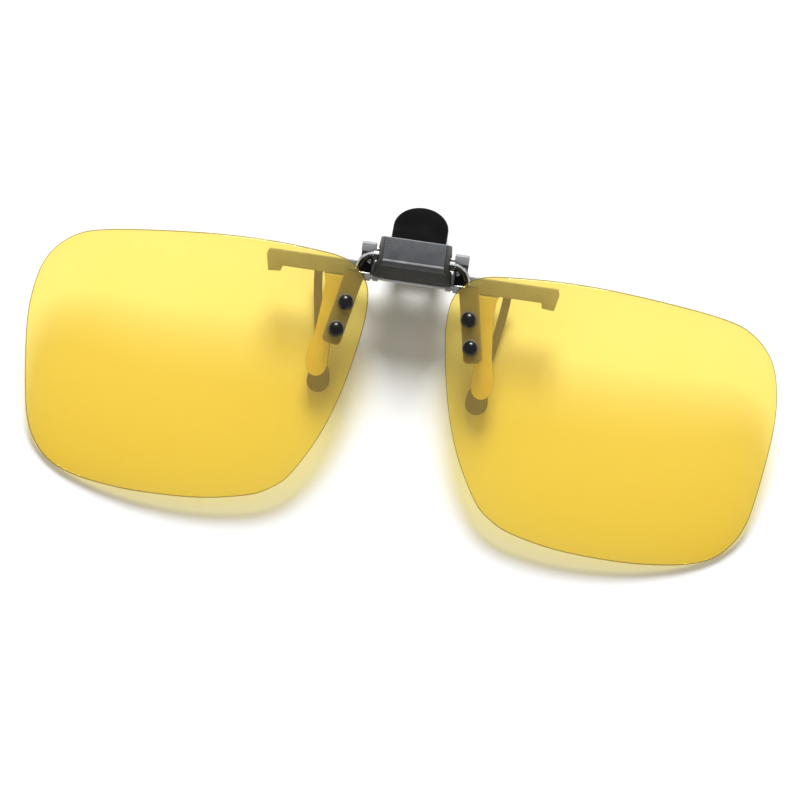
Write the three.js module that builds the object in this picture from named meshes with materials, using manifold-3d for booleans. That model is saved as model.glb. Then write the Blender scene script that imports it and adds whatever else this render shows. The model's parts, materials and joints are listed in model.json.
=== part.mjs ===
// Clip-on flip lenses: a frameless lens pair that flips up on a spring clip.
// Millimetres. Every piece is drawn with x to the side, y up as worn and z out of the lens fronts;
// the whole clip-on is then laid face up, tilted back so that it rests on the lenses' outer lower
// corners and the thumb tab. The origin is the middle of its footprint.
import * as THREE from 'three';
import { mergeVertices } from 'three/addons/utils/BufferGeometryUtils.js';
import Module from 'manifold-3d';

const wasm = await Module();
wasm.setup();

// ---- driving dimensions ----
const REST_TILT = THREE.MathUtils.degToRad(14);
const CLEARANCE = 0.12;

const LENS_THICKNESS = 1.1;
const LENS_APEX = { x: 30.2, z: 3.43 };
const LENS_RADIUS_X = 133;
const LENS_RADIUS_Y = 155;
const LENS_CENTRE = { x: 36.5, y: 0 };
const LENS_RINGS = 5;
const LENS_STEPS = 64;
// the right lens's edge, anticlockwise from the temple side
const LENS_OUTLINE = [
  [66.9, 2.7], [66.2, 10.8], [64.1, 16.0], [60.0, 19.7], [54.6, 21.5], [44.8, 22.9], [34.4, 23.8],
  [25.3, 23.95], [16.8, 23.4], [12.8, 22.8], [10.3, 21.7], [8.3, 19.7], [7.2, 16.6], [7.3, 10.6],
  [9.3, 0], [12.2, -8.9], [16.5, -16.8], [19.8, -19.9], [23.9, -21.8], [32.4, -23.5],
  [43.0, -24.1], [50.3, -23.8], [55.8, -23.0], [59.6, -21.6], [62.2, -19.4], [64.3, -16.0],
  [65.6, -10.6],
];

const RIVET_UPPER = [10.93, 15.1];
const RIVET_LOWER = [11.93, 10.25];
const SHANK_RADIUS = 0.55;
const HEAD_RADIUS = 1.27;
const HEAD_HEIGHT = 0.85;
const WASHER_RADIUS = 1.5;
const WASHER_THICKNESS = 0.22;

const ARM_WIDTH = 3.4;
const ARM_THICKNESS = 0.9;
const ARM_GAP = 0.3;
const ARM_BOTTOM = 5.35;
const ARM_CORNER = 1.0;
const ARM_ABOVE = 8.2;

const FLIP_AXIS = { y: 24.1, z: 0.8 };
const CURL_RADIUS = 0.62;
const BOSS_RADIUS = 1.0;
const AXLE_RADIUS = 0.45;
const AXLE_HALF_LENGTH = 6.9;
const FLIP_COIL = { radius: 0.95, halfLength: 2.9, turns: 7, wire: 0.2 };
const FRICTION_WASHER = { inner: 0.62, outer: 1.0, near: 4.7, far: 4.86 };
const ROD = { y: 19.75, z: -1.65, radius: 0.42, halfLength: 8.4 };
const WEB = { back: -1.8, front: -1.1 };
const WEB_DOME = { x: 7.85, y: 22.5, radius: 0.42, height: 0.3 };

const JAW_FRONT = -2.4;
const JAW_BACK = -3.8;
const WING_TOP = 22.1;
const WING_BOTTOM = 19.35;
const WING_END = 26.1;
const BROW_PAD = { near: 23.7, far: 25.5, bottom: 18.7, top: 21.7, thickness: 0.35 };
const BLOCK_HALF_WIDTH = 6.1;
const EAR = { near: 7.0, far: 9.5, bottom: 21.6, step: 24.2, top: 25.7, front: -0.9 };
const JAW_PIN = { y: 22.9, z: -5.2, radius: 0.45, halfLength: 6.6 };
const JAW_COIL = { radius: 1.0, halfLength: 1.7, turns: 5, wire: 0.22 };

// the housing's front face, its bevel below, and its open base
const HOUSING = {
  face: { halfWidth: 5.42, bottom: 23.75, top: 27.9, z: 4.0 },
  base: { halfWidth: 7.1, topHalfWidth: 6.3, bottom: 19.95, top: 27.4, z: 0.4 },
  bevelBottom: 22.6,
  bevelDrop: 0.8,
  wall: 0.5,
};

const HUB_RADIUS = 1.5;
const HUB_HALF_WIDTH = 4.8;
const SPRING_GAP = 2.6;
const TAB_HALF_WIDTH = 4.95;
const TAB_THICKNESS = 1.2;
const TAB_END = { y: 31.5, z: -14.88 };
const REAR_BAR = { halfLength: 17.8, bottom: 19.7, top: 21.2, back: -8.2, front: -6.75 };
const REAR_LEG = { halfDepth: 0.55, halfWidth: 0.76 };
const REAR_TIP = { x: 14.3, y: -0.6, radius: 2.0, top: 2.3, back: -6.75, front: -4.65 };
const SLEEVE_BACK = -4.0;
const SLEEVE_FRONT = -2.1;

// ---- materials ----
const material = (color, roughness, metalness = 0, extra = {}) =>
  new THREE.MeshStandardMaterial({ color, roughness, metalness, ...extra });
const lensTint = () => material(0xffdc3c, 0.05, 0, { transparent: true, opacity: 0.55 });
const satinBlack = () => material(0x3a3d40, 0.55);
const texturedGrey = () => material(0x5a5f64, 0.7);
const glossBlack = () => material(0x0b0b0a, 0.18);
const steel = () => material(0xb4b6b8, 0.3, 1);
const amberSilicone = () => material(0xe0b040, 0.45);
const darkRubber = () => material(0x2c2a26, 0.8);

// ---- solids: helpers that join, cut and place closed geometries ----
function toSolid(geometry) {
  const plain = geometry.clone();
  plain.deleteAttribute('normal');
  plain.deleteAttribute('uv');
  const merged = mergeVertices(plain, 1e-4);
  return new wasm.Manifold(new wasm.Mesh({
    numProp: 3,
    vertProperties: new Float32Array(merged.attributes.position.array),
    triVerts: new Uint32Array(merged.index.array),
  }));
}

function toGeometry(solid) {
  const mesh = solid.getMesh();
  const geometry = new THREE.BufferGeometry();
  geometry.setAttribute('position', new THREE.BufferAttribute(mesh.vertProperties, 3));
  geometry.setIndex(new THREE.BufferAttribute(mesh.triVerts, 1));
  geometry.computeVertexNormals();
  return geometry;
}

const joined = (...geometries) => toGeometry(geometries.map(toSolid).reduce((a, b) => a.add(b)));
const cut = (geometry, ...tools) => toGeometry(
  tools.map(toSolid).reduce((a, b) => a.subtract(b), toSolid(geometry)),
);

// mirrors a right-hand piece into a left-hand one, keeping its faces pointing out
function mirrored(geometry) {
  const copy = geometry.index ? geometry.clone() : mergeVertices(geometry);
  copy.applyMatrix4(new THREE.Matrix4().makeScale(-1, 1, 1));
  const index = copy.index.array;
  for (let i = 0; i < index.length; i += 3) [index[i], index[i + 1]] = [index[i + 1], index[i]];
  return copy;
}

function box(x0, x1, y0, y1, z0, z1) {
  return new THREE.BoxGeometry(x1 - x0, y1 - y0, z1 - z0)
    .translate((x0 + x1) / 2, (y0 + y1) / 2, (z0 + z1) / 2);
}

// a bar lying across the clip, on an axis parallel to x
function crossBar(radius, x0, x1, y, z, sides = 16) {
  return new THREE.CylinderGeometry(radius, radius, x1 - x0, sides)
    .rotateZ(Math.PI / 2).translate((x0 + x1) / 2, y, z);
}

// a turned piece on the clip's x axis, from [distance along x, radius] points
function turnedOnX(points, sides, y, z) {
  const profile = points.map(([x, r]) => new THREE.Vector2(r, x));
  return new THREE.LatheGeometry(profile, sides).rotateZ(-Math.PI / 2).translate(0, y, z);
}

function plate(points, z0, z1) {
  const shape = new THREE.Shape(points.map(([x, y]) => new THREE.Vector2(x, y)));
  return new THREE.ExtrudeGeometry(shape, { depth: z1 - z0, bevelEnabled: false }).translate(0, 0, z0);
}

function alongPath(points, section, steps) {
  const path = new THREE.CatmullRomCurve3(points.map((p) => new THREE.Vector3(...p)));
  return new THREE.ExtrudeGeometry(section, { steps, extrudePath: path, bevelEnabled: false });
}

function roundSection(radius, sides) {
  const points = [];
  for (let i = 0; i < sides; i += 1) {
    const a = (2 * Math.PI * i) / sides;
    points.push(new THREE.Vector2(radius * Math.cos(a), radius * Math.sin(a)));
  }
  return new THREE.Shape(points);
}

// ---- lenses ----
function lensFront(x, y) {
  return LENS_APEX.z - (x - LENS_APEX.x) ** 2 / (2 * LENS_RADIUS_X) - y ** 2 / (2 * LENS_RADIUS_Y);
}

// places something drawn at the origin, with z as the lens's outward normal, on the lens front
function onLens([x, y]) {
  const normal = new THREE.Vector3((x - LENS_APEX.x) / LENS_RADIUS_X, y / LENS_RADIUS_Y, 1).normalize();
  const along = new THREE.Vector3(
    RIVET_UPPER[0] - RIVET_LOWER[0],
    RIVET_UPPER[1] - RIVET_LOWER[1],
    lensFront(...RIVET_UPPER) - lensFront(...RIVET_LOWER),
  );
  const side = along.clone().cross(normal).normalize();
  const up = normal.clone().cross(side);
  return new THREE.Matrix4().makeBasis(side, up, normal).setPosition(x, y, lensFront(x, y));
}

function lensBlank() {
  const edge = new THREE.CatmullRomCurve3(
    LENS_OUTLINE.map(([x, y]) => new THREE.Vector3(x, y, 0)), true, 'centripetal',
  ).getSpacedPoints(LENS_STEPS).slice(0, LENS_STEPS);
  const positions = [];
  const layerSize = 1 + LENS_RINGS * LENS_STEPS;
  for (const depth of [0, LENS_THICKNESS]) {
    positions.push(LENS_CENTRE.x, LENS_CENTRE.y, lensFront(LENS_CENTRE.x, LENS_CENTRE.y) - depth);
    for (let ring = 1; ring <= LENS_RINGS; ring += 1) {
      for (const point of edge) {
        const x = LENS_CENTRE.x + ((point.x - LENS_CENTRE.x) * ring) / LENS_RINGS;
        const y = LENS_CENTRE.y + ((point.y - LENS_CENTRE.y) * ring) / LENS_RINGS;
        positions.push(x, y, lensFront(x, y) - depth);
      }
    }
  }
  const index = [];
  const vertex = (layer, ring, step) => (
    layer * layerSize + 1 + (ring - 1) * LENS_STEPS + (step % LENS_STEPS)
  );
  for (let step = 0; step < LENS_STEPS; step += 1) {
    index.push(0, vertex(0, 1, step), vertex(0, 1, step + 1));
    index.push(layerSize, vertex(1, 1, step + 1), vertex(1, 1, step));
    for (let ring = 1; ring < LENS_RINGS; ring += 1) {
      const [a, b] = [vertex(0, ring, step), vertex(0, ring, step + 1)];
      const [c, d] = [vertex(0, ring + 1, step), vertex(0, ring + 1, step + 1)];
      index.push(a, c, d, a, d, b);
      const [e, f] = [a + layerSize, b + layerSize];
      const [g, h] = [c + layerSize, d + layerSize];
      index.push(e, h, g, e, f, h);
    }
    const [p, q] = [vertex(0, LENS_RINGS, step), vertex(0, LENS_RINGS, step + 1)];
    index.push(p, p + layerSize, q + layerSize, p, q + layerSize, q);
  }
  const geometry = new THREE.BufferGeometry();
  geometry.setAttribute('position', new THREE.Float32BufferAttribute(positions, 3));
  geometry.setIndex(index);
  return geometry;
}

function rivetHole(place) {
  return new THREE.CylinderGeometry(SHANK_RADIUS + CLEARANCE, SHANK_RADIUS + CLEARANCE, 12, 14)
    .rotateX(Math.PI / 2).applyMatrix4(onLens(place));
}

const lensGeometry = () => cut(lensBlank(), rivetHole(RIVET_UPPER), rivetHole(RIVET_LOWER));

// ---- rivets and their washers ----
function rivetGeometry(place) {
  const under = WASHER_THICKNESS + 2 * CLEARANCE;
  const armBack = -LENS_THICKNESS - ARM_GAP - ARM_THICKNESS - CLEARANCE;
  const profile = [[0, armBack - 0.4], [0.75, armBack - 0.4], [0.95, armBack], [SHANK_RADIUS, armBack]];
  profile.push([SHANK_RADIUS, under], [HEAD_RADIUS, under]);
  for (let i = 1; i <= 6; i += 1) {
    const a = (Math.PI / 2) * (i / 6);
    profile.push([HEAD_RADIUS * Math.cos(a), under + HEAD_HEIGHT * Math.sin(a)]);
  }
  profile[profile.length - 1][0] = 0;
  return new THREE.LatheGeometry(profile.map(([r, z]) => new THREE.Vector2(r, z)), 18)
    .rotateX(Math.PI / 2).applyMatrix4(onLens(place));
}

function washerGeometry(place) {
  const [inner, outer] = [SHANK_RADIUS + CLEARANCE, WASHER_RADIUS];
  const [low, high] = [CLEARANCE, CLEARANCE + WASHER_THICKNESS];
  const profile = [[inner, low], [outer, low], [outer, high], [inner, high], [inner, low]];
  return new THREE.LatheGeometry(profile.map(([r, z]) => new THREE.Vector2(r, z)), 20)
    .rotateX(Math.PI / 2).applyMatrix4(onLens(place));
}

// ---- lens arms: the left and right ones are held together by the bridge rod ----
function armGeometry() {
  const half = ARM_WIDTH / 2;
  const shape = new THREE.Shape();
  shape.moveTo(half, ARM_ABOVE);
  shape.lineTo(-half, ARM_ABOVE);
  const [cornerX, cornerY] = [half - ARM_CORNER, ARM_CORNER - ARM_BOTTOM];
  shape.absarc(-cornerX, cornerY, ARM_CORNER, Math.PI, 1.5 * Math.PI, false);
  shape.absarc(cornerX, cornerY, ARM_CORNER, 1.5 * Math.PI, 2 * Math.PI, false);
  const middle = [(RIVET_UPPER[0] + RIVET_LOWER[0]) / 2, (RIVET_UPPER[1] + RIVET_LOWER[1]) / 2];
  const back = -LENS_THICKNESS - ARM_GAP - ARM_THICKNESS;
  return new THREE.ExtrudeGeometry(shape, { depth: ARM_THICKNESS, bevelEnabled: false, curveSegments: 8 })
    .translate(0, 0, back).applyMatrix4(onLens(middle));
}

// the arm's top, bent inwards and forwards in a quarter turn to the flip axis
function curlGeometry() {
  const route = [[9.9, 18.6, -1.65], [9.75, 20.3, -1.7], [9.45, 21.9, -1.5], [8.6, 23.3, -0.6]];
  route.push([7.4, FLIP_AXIS.y, 0.4], [6.4, FLIP_AXIS.y, FLIP_AXIS.z]);
  return alongPath(route, roundSection(CURL_RADIUS, 10), 20);
}

// the thin web inside the curl, with its small raised dome
function webGeometry() {
  const outline = [[7.35, 20.4], [10.0, 20.4], [9.6, 21.9], [8.7, 23.2], [7.7, 23.9], [7.35, 23.9]];
  return plate(outline, WEB.back, WEB.front);
}

function webDome() {
  const { x, y, radius, height } = WEB_DOME;
  const profile = [[0, -0.3], [radius, -0.3]];
  for (let i = 0; i <= 4; i += 1) {
    const a = (Math.PI / 2) * (i / 4);
    profile.push([radius * Math.cos(a), height * Math.sin(a)]);
  }
  profile[profile.length - 1][0] = 0;
  return new THREE.LatheGeometry(profile.map(([r, z]) => new THREE.Vector2(r, z)), 14)
    .rotateX(Math.PI / 2).translate(x, y, WEB.front);
}

function lensArmGeometry() {
  const boss = crossBar(BOSS_RADIUS, 6.0, 7.3, FLIP_AXIS.y, FLIP_AXIS.z, 20);
  const lug = box(7.3, 9.6, 19.0, 20.5, -2.2, -1.0);
  const body = joined(armGeometry(), curlGeometry(), webGeometry(), webDome(), boss, lug);
  const boreForAxle = crossBar(AXLE_RADIUS + CLEARANCE, 5, 7.0, FLIP_AXIS.y, FLIP_AXIS.z);
  const boreForRod = crossBar(ROD.radius + CLEARANCE, 6, ROD.halfLength + CLEARANCE, ROD.y, ROD.z);
  return cut(body, boreForAxle, boreForRod, rivetHole(RIVET_UPPER), rivetHole(RIVET_LOWER));
}

function collarGeometry() {
  const points = [[5.95, ROD.radius + CLEARANCE]];
  for (let rib = 0; rib < 3; rib += 1) {
    const x = 5.95 + rib * 0.36;
    points.push([x, 0.62], [x + 0.1, 0.72], [x + 0.22, 0.72], [x + 0.32, 0.62]);
  }
  points.push([6.99, 0.62], [6.99, ROD.radius + CLEARANCE], [5.95, ROD.radius + CLEARANCE]);
  return turnedOnX(points, 16, ROD.y, ROD.z);
}

// ---- front jaw ----
function wingGeometry() {
  const outline = [
    [5.5, WING_BOTTOM], [23.1, WING_BOTTOM], [23.3, 18.4], [25.5, 18.2], [WING_END, WING_TOP - 1.0],
    [WING_END - 0.3, WING_TOP], [5.5, WING_TOP],
  ];
  return plate(outline, JAW_BACK, JAW_FRONT);
}

// the core inside a front sleeve; its foot stands a little outwards
function legCore() {
  return plate([
    [12.2, 19.6], [14.2, 19.6], [14.5, 12], [15.0, 8], [15.5, 4.6], [15.2, 2.6], [14.6, 2.2],
    [14.0, 2.6], [13.7, 5.2], [13.2, 9], [12.6, 13],
  ], -3.55, -2.65);
}

function frontJawSide() {
  const ear = box(EAR.near, EAR.far, EAR.bottom, EAR.top, JAW_BACK, JAW_FRONT);
  const earFace = box(EAR.near, EAR.far, EAR.step, EAR.top, JAW_FRONT - 0.2, EAR.front);
  const cheek = box(3.4, 4.5, 22.95, 25.3, JAW_FRONT - 0.3, 1.7);
  const lug = box(5.1, BLOCK_HALF_WIDTH, 21.4, 24.4, -6.5, JAW_BACK + 0.3);
  const { near, far, bottom, top, thickness } = BROW_PAD;
  const browPad = box(near, far, bottom, top, JAW_BACK - thickness, JAW_BACK + 0.3);
  return [wingGeometry(), legCore(), ear, earFace, cheek, lug, browPad];
}

function frontJawGeometry() {
  const block = box(-BLOCK_HALF_WIDTH, BLOCK_HALF_WIDTH, 20.6, 26.9, JAW_BACK, JAW_FRONT);
  const right = frontJawSide();
  const body = joined(block, ...right, ...right.map(mirrored));
  const axleBore = crossBar(AXLE_RADIUS + CLEARANCE, -8, 8, FLIP_AXIS.y, FLIP_AXIS.z);
  const pinBore = crossBar(JAW_PIN.radius + CLEARANCE, -8, 8, JAW_PIN.y, JAW_PIN.z);
  const hubWell = crossBar(HUB_RADIUS + 0.25, -5.1, 5.1, JAW_PIN.y, JAW_PIN.z, 24);
  return cut(body, axleBore, pinBore, hubWell);
}

// front sleeve: a soft boot over the leg core, widening into a round-ended paddle
function sleeveGeometry() {
  const outline = new THREE.Shape();
  outline.moveTo(11.6, 19.2);
  outline.lineTo(15.6, 19.2);
  outline.bezierCurveTo(15.2, 18.6, 15.15, 17.5, 15.25, 15.0);
  outline.bezierCurveTo(15.4, 12.5, 15.65, 10.5, 15.9, 8.2);
  outline.bezierCurveTo(16.3, 6.4, 16.8, 5.2, 16.77, 3.2);
  outline.bezierCurveTo(16.6, 1.4, 15.7, 0.72, 14.85, 0.72);
  outline.bezierCurveTo(13.9, 0.72, 12.95, 1.4, 12.88, 3.2);
  outline.bezierCurveTo(12.85, 5.2, 12.95, 6.4, 12.9, 8.2);
  outline.bezierCurveTo(12.4, 10.5, 11.7, 13.5, 11.6, 19.2);
  const body = new THREE.ExtrudeGeometry(outline, {
    depth: SLEEVE_FRONT - SLEEVE_BACK, bevelEnabled: false, curveSegments: 5,
  }).translate(0, 0, SLEEVE_BACK);
  const socket = plate([
    [12.05, 20], [14.35, 20], [14.65, 12], [15.2, 8], [15.7, 4.5], [15.3, 2.4], [14.6, 1.95],
    [13.85, 2.4], [13.5, 5.2], [13.0, 9], [12.45, 13],
  ], -3.7, -2.5);
  return cut(body, socket);
}

// ---- hinge housing: a drafted hood, open at the back ----
function hood(inset) {
  const { face, base, bevelBottom, bevelDrop } = HOUSING;
  const halfTop = face.halfWidth - inset;
  const halfBase = base.halfWidth - 2.2 * inset;
  const halfBaseTop = base.topHalfWidth - 2.2 * inset;
  const faceZ = face.z - 1.6 * inset;
  const baseZ = base.z - 0.4 * inset;
  const profile = [
    [halfBase, base.bottom + 2 * inset, baseZ],
    [halfTop - 0.05, bevelBottom + inset, faceZ - bevelDrop],
    [halfTop, face.bottom + inset, faceZ],
    [halfTop, face.top - inset, faceZ],
    [halfBaseTop, base.top - inset, baseZ],
  ];
  const positions = [];
  profile.forEach(([x, y, z]) => positions.push(x, y, z, -x, y, z));
  const count = profile.length;
  const index = [];
  for (let i = 0; i < count; i += 1) {
    const j = (i + 1) % count;
    index.push(2 * i, 2 * j, 2 * j + 1, 2 * i, 2 * j + 1, 2 * i + 1);
  }
  for (let i = 1; i < count - 1; i += 1) {
    index.push(0, 2 * (i + 1), 2 * i);
    index.push(1, 2 * i + 1, 2 * (i + 1) + 1);
  }
  const geometry = new THREE.BufferGeometry();
  geometry.setAttribute('position', new THREE.Float32BufferAttribute(positions, 3));
  geometry.setIndex(index);
  return geometry;
}

function housingGeometry() {
  const outside = hood(0);
  const skirt = box(-5.9, 5.9, 20.7, 27.0, JAW_FRONT + CLEARANCE, 0.6);
  const inside = hood(HOUSING.wall);
  const well = box(-5.25, 5.25, 21.5, 26.5, JAW_FRONT - 1, 0.6);
  const axleBore = crossBar(AXLE_RADIUS + CLEARANCE, -8, 8, FLIP_AXIS.y, FLIP_AXIS.z);
  const shell = cut(joined(outside, skirt), inside, well, axleBore);
  const bossRecess = (x0, x1) => crossBar(BOSS_RADIUS + 0.3, x0, x1, FLIP_AXIS.y, FLIP_AXIS.z, 20);
  return cut(shell, bossRecess(5.55, 8), bossRecess(-8, -5.55));
}

// ---- hinge pins, springs and washers ----
function pinGeometry({ y, z }, radius, half) {
  const points = [[-half, 0], [-half, radius * 0.6], [-half + 0.15, radius], [half - 0.15, radius]];
  points.push([half, radius * 0.6], [half, 0]);
  return turnedOnX(points, 14, y, z);
}

function coilPoints(coilRadius, half, turns, y, z, startAngle) {
  const points = [];
  const steps = Math.round(turns * 12);
  for (let i = 0; i <= steps; i += 1) {
    const a = startAngle + (2 * Math.PI * turns * i) / steps;
    const x = -half + (2 * half * i) / steps;
    points.push([x, y + coilRadius * Math.cos(a), z + coilRadius * Math.sin(a)]);
  }
  return points;
}

function flipSpringGeometry() {
  const { radius, halfLength, turns, wire } = FLIP_COIL;
  const points = coilPoints(radius, halfLength, turns, FLIP_AXIS.y, FLIP_AXIS.z, 0);
  return alongPath(points, roundSection(wire, 5), 90);
}

function jawSpringGeometry() {
  const { radius, halfLength, turns, wire } = JAW_COIL;
  const coil = coilPoints(radius, halfLength, turns, JAW_PIN.y, JAW_PIN.z, -Math.PI);
  const frontLeg = [-halfLength, JAW_PIN.y - 1.3, JAW_PIN.z + 0.7];
  const tabLeg = [halfLength, JAW_PIN.y - 1.05, JAW_PIN.z - 2.6];
  return alongPath([frontLeg, ...coil, tabLeg], roundSection(wire, 6), 84);
}

function frictionWasher() {
  const { inner, outer, near, far } = FRICTION_WASHER;
  const points = [[near, inner], [near, outer], [far, outer], [far, inner], [near, inner]];
  return turnedOnX(points, 20, FLIP_AXIS.y, FLIP_AXIS.z);
}

// ---- rear jaw ----
function tabGeometry() {
  const start = { y: JAW_PIN.y, z: JAW_PIN.z };
  const length = Math.hypot(TAB_END.y - start.y, TAB_END.z - start.z);
  const angle = Math.atan2(TAB_END.z - start.z, TAB_END.y - start.y);
  const shape = new THREE.Shape();
  shape.moveTo(-TAB_HALF_WIDTH, 1.0);
  shape.lineTo(TAB_HALF_WIDTH, 1.0);
  shape.lineTo(TAB_HALF_WIDTH, length - TAB_HALF_WIDTH);
  shape.absarc(0, length - TAB_HALF_WIDTH, TAB_HALF_WIDTH, 0, Math.PI, false);
  return new THREE.ExtrudeGeometry(shape, { depth: TAB_THICKNESS, bevelEnabled: false, curveSegments: 16 })
    .translate(0, 0, -TAB_THICKNESS / 2).rotateX(angle).translate(0, start.y, start.z);
}

function rearLeg(room = 0) {
  const [a, b] = [REAR_LEG.halfDepth + room, REAR_LEG.halfWidth + room];
  const corners = [[-a, -b], [a, -b], [a, b], [-a, b]];
  const section = new THREE.Shape(corners.map(([x, y]) => new THREE.Vector2(x, y)));
  return alongPath([
    [17.0, 20.6, -7.6], [17.0, 18.0, -9.25], [16.7, 14.8, -9.8], [16.2, 11.5, -9.7], [15.5, 7.5, -8.85],
    [14.75, 3.8, -7.1], [14.4, 1.7, -5.85], [14.33, 0.9, -5.7], [14.33, -0.5, -5.7],
  ], section, 24);
}

function rearJawGeometry() {
  const hub = crossBar(HUB_RADIUS, -HUB_HALF_WIDTH, HUB_HALF_WIDTH, JAW_PIN.y, JAW_PIN.z, 24);
  const web = box(-HUB_HALF_WIDTH, HUB_HALF_WIDTH, 19.9, 22.4, -8.0, -5.9);
  const { halfLength, bottom, top, back, front } = REAR_BAR;
  const bar = box(-halfLength, halfLength, bottom, top, back, front);
  const body = joined(hub, tabGeometry(), web, bar, rearLeg(), mirrored(rearLeg()));
  const bore = crossBar(JAW_PIN.radius + CLEARANCE, -9, 9, JAW_PIN.y, JAW_PIN.z);
  const springGap = box(-SPRING_GAP, SPRING_GAP, 21.3, 25.2, -8.3, -2);
  return cut(body, bore, springGap);
}

// rear tip: a rubber pad with a socket for the end of the rear leg
function rearTip() {
  const shape = new THREE.Shape();
  const { x, y, radius, top, back, front } = REAR_TIP;
  shape.moveTo(x - 1.2, top);
  shape.bezierCurveTo(x - 1.8, top - 0.9, x - radius, y + 1, x - radius, y);
  shape.absarc(x, y, radius, Math.PI, 2 * Math.PI, false);
  shape.bezierCurveTo(x + radius, y + 1, x + 1.8, top - 0.9, x + 1.2, top);
  shape.closePath();
  const options = { depth: front - back, bevelEnabled: false, curveSegments: 8 };
  const body = new THREE.ExtrudeGeometry(shape, options).translate(0, 0, back);
  return cut(body, rearLeg(CLEARANCE), box(13.4, 15.25, -0.7, 0.3, -6.4, -5.0));
}

// ---- assembly ----
const clipOn = new THREE.Group();

function addPiece(name, geometry, finish) {
  const mesh = new THREE.Mesh(geometry, finish);
  mesh.name = name;
  clipOn.add(mesh);
}

function addPair(name, geometry, finish) {
  addPiece(`${name}_right`, geometry, finish());
  addPiece(`${name}_left`, mirrored(geometry), finish());
}

addPiece('front_jaw', frontJawGeometry(), satinBlack());
addPiece('housing_cover', housingGeometry(), texturedGrey());
addPiece('rear_jaw', rearJawGeometry(), glossBlack());
addPiece('jaw_pin', pinGeometry(JAW_PIN, JAW_PIN.radius, JAW_PIN.halfLength), steel());
addPiece('jaw_spring', jawSpringGeometry(), steel());
addPiece('flip_axle', pinGeometry(FLIP_AXIS, AXLE_RADIUS, AXLE_HALF_LENGTH), steel());
addPiece('flip_spring', flipSpringGeometry(), steel());
addPair('friction_washer', frictionWasher(), steel);
addPair('lens_arm', lensArmGeometry(), glossBlack);
addPiece('bridge_rod', pinGeometry(ROD, ROD.radius, ROD.halfLength), steel());
addPair('rod_collar', collarGeometry(), steel);
addPair('lens', lensGeometry(), lensTint);
addPair('rivet_upper', rivetGeometry(RIVET_UPPER), glossBlack);
addPair('rivet_lower', rivetGeometry(RIVET_LOWER), glossBlack);
addPair('rivet_washer_upper', washerGeometry(RIVET_UPPER), steel);
addPair('rivet_washer_lower', washerGeometry(RIVET_LOWER), steel);
addPair('front_sleeve', sleeveGeometry(), amberSilicone);
addPair('rear_tip', rearTip(), darkRubber);

// lay it on its lens corners and tab, with the origin in the middle of its footprint
clipOn.rotation.x = REST_TILT;
clipOn.updateMatrixWorld(true);
const bounds = new THREE.Box3().setFromObject(clipOn, true);
const middle = bounds.getCenter(new THREE.Vector3());
clipOn.position.set(-middle.x, -middle.y, -bounds.min.z);
clipOn.updateMatrixWorld(true);

const model = new THREE.Group();
model.add(clipOn);
export default model;
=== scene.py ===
"""Looks of the clip-on flip lenses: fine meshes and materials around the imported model.

Shapes are drawn in the clip's own axes, in millimetres (x to the side, y up as worn, z out of the
lens fronts), and the placing matrix takes them to the model's metres.
"""
import json
import math
import bmesh
import bpy
from mathutils import Matrix, Vector


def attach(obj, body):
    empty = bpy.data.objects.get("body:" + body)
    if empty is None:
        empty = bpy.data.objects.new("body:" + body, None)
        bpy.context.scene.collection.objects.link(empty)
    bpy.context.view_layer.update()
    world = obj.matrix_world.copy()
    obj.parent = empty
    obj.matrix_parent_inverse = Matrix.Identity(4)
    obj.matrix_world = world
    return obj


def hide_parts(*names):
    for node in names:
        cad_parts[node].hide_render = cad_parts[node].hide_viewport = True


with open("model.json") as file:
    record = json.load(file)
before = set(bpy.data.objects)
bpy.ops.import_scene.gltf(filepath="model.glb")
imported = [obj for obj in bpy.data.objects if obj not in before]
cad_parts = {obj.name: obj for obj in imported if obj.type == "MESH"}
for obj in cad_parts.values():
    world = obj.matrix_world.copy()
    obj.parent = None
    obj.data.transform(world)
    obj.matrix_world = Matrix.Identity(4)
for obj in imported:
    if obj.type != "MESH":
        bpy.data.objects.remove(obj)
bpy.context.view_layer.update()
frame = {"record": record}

# ---- driving dimensions, in millimetres ----
REST_TILT = math.radians(14)
FLIP_AXIS = Vector((0, 24.1, 0.8))
JAW_PIN = Vector((0, 22.9, -5.2))
CLEARANCE = 0.12
PIN_RADIUS = 0.45
PIN_BORE = PIN_RADIUS + CLEARANCE

LENS_THICKNESS = 1.1
RIM_ROUNDING = 0.3
LENS_APEX = (30.2, 3.43)
LENS_RADII = (133, 155)
LENS_CENTRE = Vector((36.5, 0))
LENS_OUTLINE = [
    (66.9, 2.7), (66.2, 10.8), (64.1, 16.0), (60.0, 19.7), (54.6, 21.5), (44.8, 22.9), (34.4, 23.8),
    (25.3, 23.95), (16.8, 23.4), (12.8, 22.8), (10.3, 21.7), (8.3, 19.7), (7.2, 16.6), (7.3, 10.6),
    (9.3, 0), (12.2, -8.9), (16.5, -16.8), (19.8, -19.9), (23.9, -21.8), (32.4, -23.5),
    (43.0, -24.1), (50.3, -23.8), (55.8, -23.0), (59.6, -21.6), (62.2, -19.4), (64.3, -16.0),
    (65.6, -10.6),
]
RIVETS = {"upper": (10.93, 15.1), "lower": (11.93, 10.25)}
SHANK_RADIUS = 0.55
SHANK_BORE = SHANK_RADIUS + CLEARANCE
HEAD_RADIUS = 1.27
HEAD_HEIGHT = 0.85
WASHER_THICKNESS = 0.22
WASHER_RADIUS = 1.5

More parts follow.
